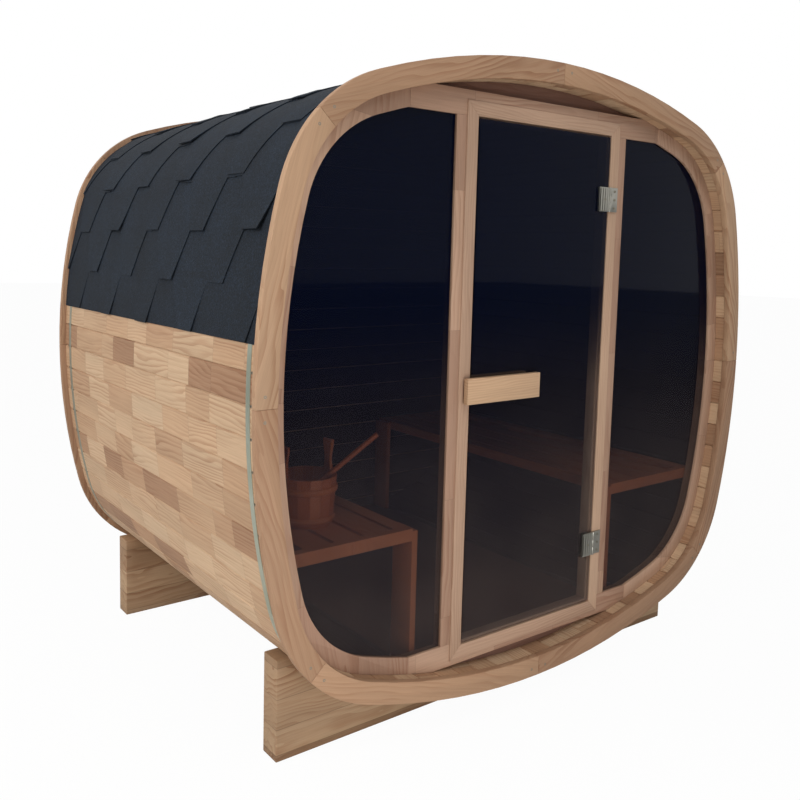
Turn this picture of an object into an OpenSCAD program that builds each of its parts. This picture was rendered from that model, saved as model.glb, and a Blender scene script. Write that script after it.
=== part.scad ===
// Sauna cabin: a barrel of staves with a rounded-square outline, an all-glass
// front with a hinged glass door, hexagonal shingles over the upper half and
// two bearers notched to the barrel. Millimetres, +Z up, front towards -Y.
// The origin is on the ground, at the middle of the footprint.

/* [Overall] */
// Width over the end rings
cabin_w = 2120; // [1800:10:2600]
// Height of the end rings
cabin_h = 1950; // [1650:10:2400]
// Depth from front ring face to rear ring face
cabin_d = 1600; // [1200:10:3000]
// Height of the end rings above the ground
ground_gap = 80; // [40:5:200]

/* [Outline] */
// Radius of the bowed sides, top and bottom
bow_r = 2250; // [1800:10:4000]
// Radius of the corners
corner_r = 440; // [300:5:520]

/* [Shell] */
// Thickness of a stave
stave_t = 42; // [28:1:60]
// How far the end rings stand out past the staves
ring_lap = 20; // [14:1:30]

/* [End rings] */
// Width of a ring board, seen from the front
ring_w = 64; // [50:1:120]
// Thickness of a ring board
ring_t = 22; // [18:1:40]

/* [Straps] */
// Width of a steel strap
strap_w = 22; // [15:1:40]
// Thickness of a steel strap
strap_t = 1; // [0.6:0.1:3]
// Gap between an end ring and its strap
strap_gap = 43; // [20:1:80]

/* [Shingles] */
// Thickness of the shingle covering
shingle_t = 8; // [4:0.5:12]
// Height of the covering's lower edge above mid height
shingle_edge = 153; // [0:1:300]

/* [Bearers] */
// Thickness of a bearer, front to back
bearer_t = 75; // [40:1:120]
// Length of a bearer
bearer_l = 1786; // [1400:2:1900]
// Height of a bearer at its ends
bearer_h = 301; // [220:1:360]
// Front ring face to the face of the front bearer
front_bearer_setback = 165; // [100:1:400]
// Rear ring face to the face of the rear bearer
rear_bearer_setback = 197; // [100:1:400]

/* [Front wall] */
// Depth of the wall behind the ring face
wall_recess = 55; // [40:1:200]
// Thickness of the front and rear walls
wall_t = 45; // [36:1:70]
// Top of the ring down to the underside of the header
header_drop = 186; // [160:1:240]
// Bottom of the ring up to the top of the sill
sill_rise = 173; // [150:1:240]
// Height of the header and of the sill
rail_h = 72; // [60:1:110]
// Face width of the curved side frames
side_frame_w = 50; // [36:1:80]
// Face width of the post beside the door frame
post_w = 38; // [34:1:70]
// Thickness of the board that fills each bow above and below
filler_t = 17; // [12:1:24]

/* [Windows] */
// Thickness of a window pane
pane_t = 8; // [6:1:12]
// Width and depth of the lip in front of a pane
lip = 10; // [6:1:14]
// Clearance round a pane in its rebate
pane_clearance = 2; // [1:0.5:4]

/* [Door] */
// Width over the door frame
door_frame_w = 692; // [600:2:900]
// Face width of a door frame bar
door_bar = 43; // [34:1:60]
// How far the door frame stands out from the wall
door_proud = 4; // [0:1:10]
// Thickness of the door glass
door_glass_t = 8; // [6:1:10]
// Gap round the door glass and behind it
door_gap = 5.5; // [5:0.5:8]
// Width of the stop behind the glass
door_stop = 8; // [6.5:0.5:12]
// Drop of the door opening below the top of the sill
door_drop = 12; // [0:1:30]

/* [Handles] */
// Length of the outside handle
handle_l = 310; // [200:5:500]
// Height of a handle
handle_h = 78; // [50:1:100]
// Thickness of a handle
handle_t = 18; // [14:1:30]
// How far the outside handle laps over the frame
handle_lap = 29; // [10:1:36]
// Middle of the handles below mid height
handle_below_mid = 17; // [0:1:200]
// Length of the inside handle
inside_handle_l = 250; // [150:5:400]

/* [Hinges] */
// Height of a hinge
hinge_h = 80; // [60:1:120]
// Width of a clamp plate on the glass
clamp_w = 48; // [36:1:60]
// Thickness of the outside clamp plate
clamp_t = 8; // [6:1:10]
// Thickness of the inside clamp plate
back_clamp_t = 6; // [4:1:8]
// Width of a leaf on the frame
leaf_w = 34; // [26:1:38]
// Thickness of a leaf
leaf_t = 5; // [4:0.5:8]
// Radius of a hinge knuckle
knuckle_r = 5; // [4.5:0.1:5.2]
// Radius of a hinge pin
pin_r = 2.5; // [2:0.1:3]
// Top of the door opening down to the middle of the upper hinge
upper_hinge_drop = 210; // [120:1:500]
// Bottom of the door opening up to the middle of the lower hinge
lower_hinge_rise = 212; // [120:1:500]

/* [Benches] */
// Width of the aisle between the benches
aisle_w = 932; // [600:2:1100]
// Top of a bench below mid height
bench_below_mid = 430; // [350:1:520]
// Width of a bench slat
slat_w = 92; // [60:1:110]
// Gap between bench slats
slat_gap = 14; // [8:1:20]
// Thickness of a bench slat
slat_t = 22; // [16:1:30]
// Height of the bench rails
bench_rail_h = 38; // [30:1:60]
// Width of the long bench rails
bench_rail_w = 50; // [36:1:60]
// Width of the end rails of a bench
bench_end_w = 28; // [20:1:50]
// Thickness of a bench leg board
leg_t = 20; // [16:1:30]
// Width of a bench leg board
leg_w = 92; // [60:1:120]

/* [Floor] */
// Thickness of the floor deck
deck_t = 20; // [16:1:30]
// Gap from the underside of the door frame to the deck
deck_below_frame = 6; // [2:1:20]
// Width of a floor joist
joist_w = 40; // [30:1:60]
// Distance between floor joists
joist_pitch = 300; // [200:5:360]

/* [Bucket and ladle] */
// Height of the bucket's body
bucket_h = 150; // [120:1:240]
// Radius of the bucket at its rim
bucket_rim_r = 95; // [70:1:120]
// Radius of the bucket at its foot
bucket_foot_r = 84; // [60:1:110]
// Thickness of the bucket's staves
bucket_wall = 12; // [8:1:16]
// Height of the bucket's ears above the rim
ear_h = 95; // [60:1:130]
// Middle of the bucket from the cabin's middle
bucket_x = 700; // [600:1:760]
// Middle of the bucket behind the front ring face
bucket_y = 330; // [260:1:800]
// Direction of the bucket's ears round its axis, in degrees from +X
ear_turn = 8; // [0:1:30]
// Direction in which the ladle's handle leaves the bucket, in degrees from +X
ladle_turn = -38; // [-80:1:-25]
// Length of the ladle's handle
ladle_l = 355; // [250:5:450]
// Lean of the ladle above level, in degrees
ladle_lean = 42; // [38:1:50]

/* [Hidden] */

// Steps along each half bow and each half corner
BOW_STEPS = 8;
CORNER_STEPS = 8;
// Anything larger than the whole cabin
FAR = 4000;

half_w = cabin_w / 2;
half_h = cabin_h / 2;
mid_z = ground_gap + half_h;
front_y = -cabin_d / 2;
rear_y = cabin_d / 2;
shell_out = ring_lap;
shell_in = ring_lap + stave_t;

// Arc centres of one quarter of the outline, as [across, up] from its middle
side_centre = [half_w - bow_r, 0];
top_centre = [0, half_h - bow_r];
reach = bow_r - corner_r;
span = norm(top_centre - side_centre);
along = (top_centre - side_centre) / span;
rise = sqrt(reach * reach - span * span / 4);
corner_centre = (side_centre + top_centre) / 2 + rise * [-along[1], along[0]];
side_end = atan2(corner_centre[1] - side_centre[1], corner_centre[0] - side_centre[0]);
top_end = atan2(corner_centre[1] - top_centre[1], corner_centre[0] - top_centre[0]);
corner_mid = (side_end + top_end) / 2;

// Front wall levels, measured from mid height
header_z = half_h - header_drop;
sill_z = sill_rise - half_h;
header_top = header_z + rail_h;
sill_bottom = sill_z - rail_h;
wall_y = front_y + wall_recess;
wall_back_y = wall_y + wall_t;
rear_wall_y = rear_y - wall_recess - wall_t;
window_inset = shell_in + side_frame_w;
header_joint = bow_x(window_inset, header_z);
sill_joint = bow_x(window_inset, -sill_z);

// Rise of the door opening above the underside of the header
door_rise = 1;
// Door, measured from mid height
door_half = door_frame_w / 2;
opening_half = door_half - door_bar;
opening_top = header_z + door_rise;
opening_bottom = sill_z - door_drop;
door_face_y = wall_y - door_proud;
glass_back_y = door_face_y + door_glass_t;
stop_y = glass_back_y + door_gap;
glass_half = opening_half - door_gap;

// Hinge pin, just in front of the gap at the right side of the door
pin_inset = 2;
pin_stand_off = 1;
pin_x = opening_half - pin_inset;
pin_y = door_face_y - knuckle_r - pin_stand_off;
knuckle_gap = 1;
pin_clearance = 0.3;
knuckle_l = hinge_h / 3;
// Arms join the knuckles to the clamps and the leaves, and bite into the knuckles
arm_half_t = 1.5;
arm_bite = 1;
leaf_gap = 1;
clamp_gap = 7;
back_clamp_clearance = 8;
clamp_right = pin_x - clamp_gap;
back_clamp_right = opening_half - door_stop - back_clamp_clearance;
upper_hinge_z = opening_top - upper_hinge_drop;
lower_hinge_z = opening_bottom + lower_hinge_rise;
hinge_bolt_r = 8;
handle_bolt_r = 6;
handle_spacer_r = 10;
handle_bolt_inset = 40;
inside_handle_clearance = 11;
handle_stand_off = door_gap + 0.5;
outside_handle_x = -opening_half - handle_lap;
inside_handle_x = -opening_half + door_stop + inside_handle_clearance;
handle_y = door_face_y - handle_stand_off;
handle_bolts = [
  inside_handle_x + handle_bolt_inset,
  inside_handle_x + inside_handle_l - handle_bolt_inset
];

// Gap between the walls and what stands between them
inside_gap = 3;
// How far one member of a bench reaches into the next
bench_bite = 1;
// Top of a bench leg board below the top of the bench
leg_drop = 8;
// Inside levels
deck_z = opening_bottom - door_bar - deck_below_frame;
bench_z = -bench_below_mid;
bench_in = aisle_w / 2;
bench_front_y = wall_back_y + inside_gap;
bench_back_y = rear_wall_y - inside_gap;
bench_wall_x = side_x(shell_in, bench_z - bench_rail_h);
slat_from = bench_in + bench_rail_w + slat_gap;
slat_pitch = slat_w + slat_gap;
slat_room = bench_wall_x - bench_rail_w - slat_from;
slat_count = floor(slat_room / slat_pitch);
bench_batten_y = [for (part = [1, 2]) bench_front_y + (bench_back_y - bench_front_y) * part / 3];

// Distance across at which a bow, set in by inset, has the height z
function bow_x(inset, z) = sqrt(pow(bow_r - inset, 2) - pow(z - top_centre[1], 2));
// Distance across of the bowed side, set in by inset, at the height z
function side_x(inset, z) = side_centre[0] + sqrt(pow(bow_r - inset, 2) - z * z);

// Stations along one half of a quarter: [centre, radius, angle]
function side_stations() = concat(
  [for (i = [0 : BOW_STEPS]) [side_centre, bow_r, side_end * i / BOW_STEPS]],
  [for (i = [1 : CORNER_STEPS])
    [corner_centre, corner_r, side_end + (corner_mid - side_end) * i / CORNER_STEPS]]
);
function top_stations() = concat(
  [for (i = [0 : CORNER_STEPS])
    [corner_centre, corner_r, corner_mid + (top_end - corner_mid) * i / CORNER_STEPS]],
  [for (i = [1 : BOW_STEPS]) [top_centre, bow_r, top_end + (90 - top_end) * i / BOW_STEPS]]
);
function station_point(s, inset) = s[0] + (s[1] - inset) * [cos(s[2]), sin(s[2])];
function turned(list) = [for (i = [len(list) - 1 : -1 : 0]) list[i]];
function trimmed(list) = [for (i = [1 : len(list) - 1]) list[i]];
function points_at(stations, inset) = [for (s = stations) station_point(s, inset)];
function quarter(inset) = concat(
  points_at(side_stations(), inset), trimmed(points_at(top_stations(), inset)));
function half_top(inset) = concat(
  quarter(inset), trimmed([for (p = turned(quarter(inset))) [-p[0], p[1]]]));
function outline(inset) = concat(
  half_top(inset), [for (p = trimmed(half_top(inset))) if (p[0] < half_w) [-p[0], -p[1]]]);
// The whole bowed side or top between its two corners
function side_points(inset) = concat(
  [for (p = turned(trimmed(points_at(side_stations(), inset)))) [p[0], -p[1]]],
  points_at(side_stations(), inset));
function top_points(inset) = concat(
  points_at(top_stations(), inset),
  trimmed([for (p = turned(points_at(top_stations(), inset))) [-p[0], p[1]]]));
function band(stations, outer, inner) = concat(
  points_at(stations, outer), turned(points_at(stations, inner)));
// Stations of the quarter that lie above the height z on the bowed side
function covered(z) = concat(
  [[side_centre, bow_r, asin(z / (bow_r - shell_out))]],
  [for (s = side_stations()) if (s[0] != side_centre || s[2] > asin(z / (bow_r - shell_out)) + 0.01) s],
  trimmed(top_stations())
);

// Extrudes a shape drawn across and up, from y0 back to y1
module along_y(y0, y1) {
  translate([0, y1, mid_z]) rotate([90, 0, 0]) linear_extrude(y1 - y0) children();
}

module rect(x0, x1, z0, z1) {
  translate([x0, z0]) square([x1 - x0, z1 - z0]);
}

module full_outline(inset) {
  polygon(outline(inset));
}

// One eighth of an end ring: the side half of a quarter, or its top half
module side_band(outer, inner, across, up) {
  scale([across, up]) polygon(band(side_stations(), outer, inner));
}

module top_band(outer, inner, across, up) {
  scale([across, up]) polygon(band(top_stations(), outer, inner));
}

// ---- Bearers ----
module bearer(y0) {
  color("burlywood") along_y(y0, y0 + bearer_t) difference() {
    rect(-bearer_l / 2, bearer_l / 2, -mid_z, bearer_h - mid_z);
    full_outline(shell_out);
  }
}

// ---- Shell of staves, in four panels that meet at the corners ----
module shell_side(across) {
  color("tan") along_y(front_y + ring_t, rear_y - ring_t) scale([across, 1])
    polygon(concat(side_points(shell_out), turned(side_points(shell_in))));
}

module shell_flat(up) {
  color("burlywood") along_y(front_y + ring_t, rear_y - ring_t) scale([1, up])
    polygon(concat(top_points(shell_out), turned(top_points(shell_in))));
}

// ---- Shingle covering, grooved where it passes over the straps ----
module roof_band(across, under) {
  scale([across, 1]) polygon(band(covered(shingle_edge), shell_out - shingle_t, under));
}

module roof(across) {
  strap_y = front_y + ring_t + strap_gap;
  color("darkslategray") union() {
    along_y(front_y + ring_t, strap_y) roof_band(across, shell_out);
    along_y(strap_y, strap_y + strap_w) roof_band(across, shell_out - strap_t);
    along_y(strap_y + strap_w, -strap_y - strap_w) roof_band(across, shell_out);
    along_y(-strap_y - strap_w, -strap_y) roof_band(across, shell_out - strap_t);
    along_y(-strap_y, rear_y - ring_t) roof_band(across, shell_out);
  }
}

// ---- End rings, eight curved boards each ----
module side_board(y0, across, up) {
  color("peru") along_y(y0, y0 + ring_t) side_band(0, ring_w, across, up);
}

module top_board(y0, across, up) {
  color("peru") along_y(y0, y0 + ring_t) top_band(0, ring_w, across, up);
}

// Every second board of the rear ring, so that no two of them touch
module rear_ring_boards(hand) {
  y0 = rear_y - ring_t;
  top_board(y0, hand, 1);
  side_board(y0, -hand, 1);
  side_board(y0, hand, -1);
  top_board(y0, -hand, -1);
}

// ---- Steel straps round the staves ----
module strap(y0) {
  color("silver") along_y(y0, y0 + strap_w) difference() {
    full_outline(shell_out - strap_t);
    full_outline(shell_out);
  }
}

// ---- Front wall: straight header and sill, curved side frames, posts ----
// The glazed opening beside the door on both sides, grown by a rebate
module window_openings(grow) {
  for (across = [-1, 1]) window_opening(across, grow);
}

module window_opening(across, grow) {
  intersection() {
    full_outline(window_inset - grow);
    scale([across, 1]) rect(door_half + post_w - grow, FAR, sill_z - grow, header_z + grow);
  }
}

// A wall board with a lip in front of the panes and a rebate behind it
module wall_board() {
  color("sienna") union() {
    along_y(wall_y, wall_y + lip) difference() {
      children();
      window_openings(0);
    }
    along_y(wall_y + lip, wall_back_y) difference() {
      children();
      window_openings(lip);
    }
  }
}

module front_header() {
  wall_board() difference() {
    intersection() {
      full_outline(shell_in);
      rect(-header_joint, header_joint, header_z, header_top);
    }
    rect(-door_half, door_half, 0, opening_top + door_bar);
  }
}

module front_sill() {
  wall_board() difference() {
    intersection() {
      full_outline(shell_in);
      rect(-sill_joint, sill_joint, sill_bottom, sill_z);
    }
    rect(-door_half, door_half, opening_bottom - door_bar, 0);
  }
}

module side_frame(across, up) {
  joint = up > 0 ? header_joint : sill_joint;
  wall_board() scale([across, up]) intersection() {
    full_outline(shell_in);
    rect(joint, FAR, 0, FAR);
  }
}

module post(across) {
  wall_board() scale([across, 1]) rect(door_half, door_half + post_w, sill_z, header_z);
}

// Boards that close the bow above the header and below the sill
module front_fillers() {
  color("saddlebrown") along_y(wall_back_y - filler_t, wall_back_y) intersection() {
    full_outline(shell_in);
    union() {
      rect(-header_joint, header_joint, header_top, FAR);
      rect(-sill_joint, sill_joint, -FAR, sill_bottom);
    }
  }
}

// ---- Door frame: four mitred bars with a stop behind the glass ----
function frame_ring(width) = [
  [opening_half + door_bar - width, opening_top + door_bar - width],
  [-opening_half - door_bar + width, opening_top + door_bar - width],
  [-opening_half - door_bar + width, opening_bottom - door_bar + width],
  [opening_half + door_bar - width, opening_bottom - door_bar + width]
];

// Side counts round from the head: 0 head, 1 left, 2 sill, 3 right
module frame_bar(side) {
  outer = frame_ring(0);
  front = frame_ring(door_bar);
  stop = frame_ring(door_bar + door_stop);
  next = (side + 1) % 4;
  color("tan") union() {
    along_y(door_face_y, stop_y) polygon([outer[side], outer[next], front[next], front[side]]);
    along_y(stop_y, wall_back_y) polygon([outer[side], outer[next], stop[next], stop[side]]);
  }
}

// ---- Glass ----
module window_pane(across) {
  color("dimgray", 0.6) along_y(wall_y + lip, wall_y + lip + pane_t)
    window_opening(across, lip - pane_clearance);
}

module door_glass() {
  color("dimgray", 0.6) along_y(door_face_y, glass_back_y) difference() {
    rect(-glass_half, glass_half, opening_bottom + door_gap, opening_top - door_gap);
    for (x = handle_bolts) translate([x, -handle_below_mid]) circle(r = handle_bolt_r, $fn = 32);
    for (z = [upper_hinge_z, lower_hinge_z])
      translate([clamp_right - clamp_w / 2, z]) circle(r = hinge_bolt_r, $fn = 32);
  }
}

// ---- Handles, bolted through the glass ----
module cross_bolt(x, z, r, y0, y1) {
  translate([x, y1, mid_z + z]) rotate([90, 0, 0]) cylinder(r = r, h = y1 - y0, $fn = 32);
}

module outside_handle() {
  z = -handle_below_mid;
  color("wheat") union() {
    along_y(handle_y - handle_t, handle_y) rect(
      outside_handle_x, outside_handle_x + handle_l, z - handle_h / 2, z + handle_h / 2);
    for (x = handle_bolts) cross_bolt(x, z, handle_spacer_r, handle_y, door_face_y);
    for (x = handle_bolts) cross_bolt(x, z, handle_bolt_r, door_face_y, glass_back_y);
  }
}

module inside_handle() {
  z = -handle_below_mid;
  spacer_y = glass_back_y + handle_t;
  color("wheat") union() {
    along_y(spacer_y, spacer_y + handle_t) rect(
      inside_handle_x, inside_handle_x + inside_handle_l, z - handle_h / 2, z + handle_h / 2);
    for (x = handle_bolts) cross_bolt(x, z, handle_spacer_r, glass_back_y, spacer_y);
  }
}

// ---- Hinges: clamps on the glass, leaves on the frame ----
module knuckle(z0, z1, bore) {
  translate([pin_x, pin_y, mid_z + z0]) difference() {
    cylinder(r = knuckle_r, h = z1 - z0, $fn = 48);
    if (bore > 0) translate([0, 0, -1]) cylinder(r = bore, h = z1 - z0 + 2, $fn = 48);
  }
}

module plate(x0, x1, y0, y1, z0, z1) {
  translate([x0, y0, mid_z + z0]) cube([x1 - x0, y1 - y0, z1 - z0]);
}

// The arm stops short of the bore, so the knuckle stays drilled right through
module clamp(z) {
  half = knuckle_l / 2 - knuckle_gap;
  bolt_x = clamp_right - clamp_w / 2;
  union() {
    plate(clamp_right - clamp_w, clamp_right, door_face_y - clamp_t, door_face_y,
      z - hinge_h / 2, z + hinge_h / 2);
    plate(bolt_x - clamp_w / 2, back_clamp_right, glass_back_y, glass_back_y + back_clamp_t,
      z - hinge_h / 2, z + hinge_h / 2);
    cross_bolt(bolt_x, z, hinge_bolt_r, door_face_y, glass_back_y);
    knuckle(z - half, z + half, pin_r + pin_clearance);
    plate(clamp_right, pin_x - knuckle_r + arm_bite, pin_y - arm_half_t, pin_y + arm_half_t,
      z - half, z + half);
  }
}

module leaf(z) {
  leaf_x = pin_x + knuckle_r + leaf_gap;
  half = knuckle_l / 2;
  union() {
    plate(leaf_x, leaf_x + leaf_w, door_face_y - leaf_t, door_face_y,
      z - hinge_h / 2, z + hinge_h / 2);
    for (end = [-1, 1]) {
      low = end > 0 ? z + half : z - hinge_h / 2;
      high = low + hinge_h / 2 - half;
      knuckle(low, high, 0);
      plate(pin_x + knuckle_r - arm_bite, leaf_x + arm_bite, pin_y - arm_half_t,
        pin_y + arm_half_t, low, high);
    }
    translate([pin_x, pin_y, mid_z + z - half]) cylinder(r = pin_r, h = knuckle_l, $fn = 48);
  }
}

module hinge_clamps() {
  color("silver") for (z = [upper_hinge_z, lower_hinge_z]) clamp(z);
}

module hinge_leaves() {
  color("silver") for (z = [upper_hinge_z, lower_hinge_z]) leaf(z);
}

// ---- Rear wall ----
module rear_wall() {
  color("burlywood") along_y(rear_wall_y, rear_wall_y + wall_t) full_outline(shell_in);
}

// ---- Floor deck on joists that stand on the shell ----
module floor_deck() {
  color("tan") along_y(bench_front_y, bench_back_y) intersection() {
    full_outline(shell_in);
    union() {
      rect(-FAR, FAR, deck_z - deck_t, deck_z);
      for (x = [-joist_pitch, 0, joist_pitch])
        rect(x - joist_w / 2, x + joist_w / 2, -half_h, deck_z - deck_t / 2);
    }
  }
}

// ---- Benches: slats in a frame, on leg boards and the wall ----
module bench(across) {
  rail_z = bench_z - bench_rail_h;
  scale_x = [across, 1];
  color("chocolate") union() {
    along_y(bench_front_y, bench_back_y) scale(scale_x) intersection() {
      full_outline(shell_in);
      union() {
        rect(bench_in, bench_in + bench_rail_w, rail_z, bench_z);
        rect(bench_wall_x - bench_rail_w, FAR, rail_z, bench_z);
        for (i = [0 : slat_count - 1]) rect(
          slat_from + i * slat_pitch, slat_from + i * slat_pitch + slat_w, bench_z - slat_t, bench_z);
      }
    }
    for (y = [bench_front_y, bench_back_y - bench_end_w]) along_y(y, y + bench_end_w) scale(scale_x)
      rect(bench_in + bench_bite, bench_wall_x - bench_bite, rail_z, bench_z);
    for (y = bench_batten_y) along_y(y - bench_end_w / 2, y + bench_end_w / 2) scale(scale_x)
      rect(bench_in + bench_bite, bench_wall_x - bench_bite, rail_z, bench_z - slat_t / 2);
    for (y = [bench_front_y, bench_back_y - leg_w]) along_y(y, y + leg_w) scale(scale_x)
      intersection() {
        difference() {
          full_outline(shell_in);
          rect(-FAR, FAR, deck_z - deck_t, deck_z);
        }
        rect(bench_in - leg_t, bench_in + bench_bite, deck_z, bench_z - leg_drop);
      }
  }
}

// ---- Bucket and ladle on the left bench ----
// An ear is a stave that runs up past the rim, a little thinner than the wall
module bucket_ear(turn) {
  ear_angle = 36;
  thinning = 1.5;
  root = 10;
  rotate([0, 0, turn]) translate([0, 0, bucket_h - root]) linear_extrude(ear_h + root) intersection() {
    difference() {
      circle(r = bucket_rim_r - thinning, $fn = 96);
      circle(r = bucket_rim_r - bucket_wall + thinning, $fn = 96);
    }
    polygon([[0, 0], 2 * bucket_rim_r * [cos(ear_angle / 2), sin(ear_angle / 2)],
      2 * bucket_rim_r * [cos(ear_angle / 2), -sin(ear_angle / 2)]]);
  }
}

module bucket() {
  color("sienna") translate([-bucket_x, front_y + bucket_y, mid_z + bench_z]) union() {
    rotate_extrude($fn = 96) polygon([
      [0, 0], [bucket_foot_r, 0], [bucket_rim_r, bucket_h],
      [bucket_rim_r - bucket_wall, bucket_h], [bucket_foot_r - bucket_wall, bucket_wall],
      [0, bucket_wall]
    ]);
    for (turn = [ear_turn, ear_turn + 180]) bucket_ear(turn);
  }
}

// The handle leans on the rim, and the bowl all but rests on the floor of the bucket
module ladle() {
  bowl_r = 30;
  bowl_h = 40;
  bowl_wall = 5;
  rod_r = 8;
  lie = [bucket_rim_r - bucket_wall - 8, 0, bucket_h + 4.3];
  reach_in = 174;
  color("peru") translate([-bucket_x, front_y + bucket_y, mid_z + bench_z])
    rotate([0, 0, ladle_turn]) translate(lie) rotate([0, 90 - ladle_lean, 0]) union() {
      translate([0, 0, bowl_wall / 2 - reach_in]) cylinder(r = rod_r, h = ladle_l, $fn = 24);
      translate([0, 0, -reach_in]) difference() {
        cylinder(r = bowl_r, h = bowl_h, $fn = 32);
        translate([0, 0, bowl_wall]) cylinder(r = bowl_r - bowl_wall, h = bowl_h, $fn = 32);
      }
    }
}

bearer(front_y + front_bearer_setback);  // front_bearer
bearer(rear_y - rear_bearer_setback - bearer_t);  // rear_bearer
shell_flat(-1);  // shell_bottom
shell_side(-1);  // shell_left
shell_side(1);  // shell_right
shell_flat(1);  // shell_top
roof(-1);  // roof_left
roof(1);  // roof_right
top_board(front_y, -1, 1);  // front_ring_top_left
top_board(front_y, 1, 1);  // front_ring_top_right
side_board(front_y, -1, 1);  // front_ring_left_upper
side_board(front_y, 1, 1);  // front_ring_right_upper
side_board(front_y, -1, -1);  // front_ring_left_lower
side_board(front_y, 1, -1);  // front_ring_right_lower
top_board(front_y, -1, -1);  // front_ring_bottom_left
top_board(front_y, 1, -1);  // front_ring_bottom_right
rear_ring_boards(1);  // rear_ring_first_boards
rear_ring_boards(-1);  // rear_ring_second_boards
strap(front_y + ring_t + strap_gap);  // front_strap
strap(rear_y - ring_t - strap_gap - strap_w);  // rear_strap
front_header();
front_sill();
side_frame(-1, 1);  // side_frame_left_upper
side_frame(1, 1);  // side_frame_right_upper
side_frame(-1, -1);  // side_frame_left_lower
side_frame(1, -1);  // side_frame_right_lower
post(-1);  // left_post
post(1);  // right_post
front_fillers();
frame_bar(0);  // door_frame_head
frame_bar(1);  // door_frame_left
frame_bar(2);  // door_frame_sill
frame_bar(3);  // door_frame_right
window_pane(-1);  // left_window
window_pane(1);  // right_window
rear_wall();
floor_deck();  // floor
bench(-1);  // left_bench
bench(1);  // right_bench
bucket();
ladle();
hinge_leaves();
hinge_clamps();
door_glass();
outside_handle();
inside_handle();
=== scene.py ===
import math
import random
import bpy
from mathutils import Matrix, Vector


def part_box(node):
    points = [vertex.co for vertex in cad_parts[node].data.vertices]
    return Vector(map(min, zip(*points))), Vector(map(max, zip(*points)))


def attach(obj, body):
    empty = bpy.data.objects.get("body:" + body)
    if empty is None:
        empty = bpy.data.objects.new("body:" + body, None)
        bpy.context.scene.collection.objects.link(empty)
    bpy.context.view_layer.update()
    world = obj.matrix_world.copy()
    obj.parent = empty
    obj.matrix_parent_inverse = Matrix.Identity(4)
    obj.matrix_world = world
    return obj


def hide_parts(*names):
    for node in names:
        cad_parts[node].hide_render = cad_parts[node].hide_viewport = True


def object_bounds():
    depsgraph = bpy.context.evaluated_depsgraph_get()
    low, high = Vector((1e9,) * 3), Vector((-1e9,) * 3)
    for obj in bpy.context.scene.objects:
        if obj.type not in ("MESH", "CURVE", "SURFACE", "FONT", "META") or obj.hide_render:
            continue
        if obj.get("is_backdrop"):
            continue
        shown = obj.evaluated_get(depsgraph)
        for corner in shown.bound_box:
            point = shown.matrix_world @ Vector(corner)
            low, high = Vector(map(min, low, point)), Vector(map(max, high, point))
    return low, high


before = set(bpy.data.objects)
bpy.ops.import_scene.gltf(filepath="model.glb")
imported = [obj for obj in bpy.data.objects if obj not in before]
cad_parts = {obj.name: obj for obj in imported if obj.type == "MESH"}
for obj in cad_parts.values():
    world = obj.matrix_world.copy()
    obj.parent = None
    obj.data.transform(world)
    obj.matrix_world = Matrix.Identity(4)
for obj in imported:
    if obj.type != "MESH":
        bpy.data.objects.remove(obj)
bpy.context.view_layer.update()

chance = random.Random(41)

# ---- Camera, daylight and floor ----
# The cabin is seen from the front left, a little below eye level, standing on
# a plain pale floor. A large lamp lights it from the left, with two smaller
# ones in front, and an even white studio all round.
scene = bpy.context.scene
scene.view_settings.view_transform = "Standard"


def linear(hex_colour):
    """An sRGB hex colour as linear red, green, blue and full alpha."""
    parts = [int(hex_colour[i:i + 2], 16) / 255 for i in (1, 3, 5)]
    return [c / 12.92 if c <= 0.04045 else ((c + 0.055) / 1.055) ** 2.4 for c in parts] + [1.0]


def add(material, kind, links=None, **settings):
    """Adds a node with its settings; links gives each input a value or the socket it is fed from."""
    tree = material.node_tree
    made = tree.nodes.new(kind)
    for key, value in settings.items():
        setattr(made, key, value)
    for key, value in (links or {}).items():
        if isinstance(value, bpy.types.NodeSocket):
            tree.links.new(value, made.inputs[key])
        else:
            made.inputs[key].default_value = value
    return made


def new_material(name):
    """An empty node material with its output."""
    material = bpy.data.materials.new(name)
    material.use_nodes = True
    material.node_tree.nodes.clear()
    return material, material.node_tree.nodes.new("ShaderNodeOutputMaterial")


yaw, pitch, roll = 0.6217, -0.1012, 0.0209
eye = Vector((-2.049, -2.585, 1.449))
ahead = Vector((math.sin(yaw) * math.cos(pitch), math.cos(yaw) * math.cos(pitch), math.sin(pitch)))
level = Vector((math.cos(yaw), -math.sin(yaw), 0))
upright = level.cross(ahead)
right = math.cos(roll) * level + math.sin(roll) * upright
up = math.cos(roll) * upright - math.sin(roll) * level
camera = bpy.data.objects.new("camera", bpy.data.cameras.new("camera"))
scene.collection.objects.link(camera)
camera.matrix_world = Matrix((
    (right.x, up.x, -ahead.x, eye.x), (right.y, up.y, -ahead.y, eye.y),
    (right.z, up.z, -ahead.z, eye.z), (0, 0, 0, 1)))
camera.data.lens = 38.04
camera.data.sensor_width = 36
camera.data.shift_x = 0.0574
camera.data.shift_y = -0.0796
scene.camera = camera

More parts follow.
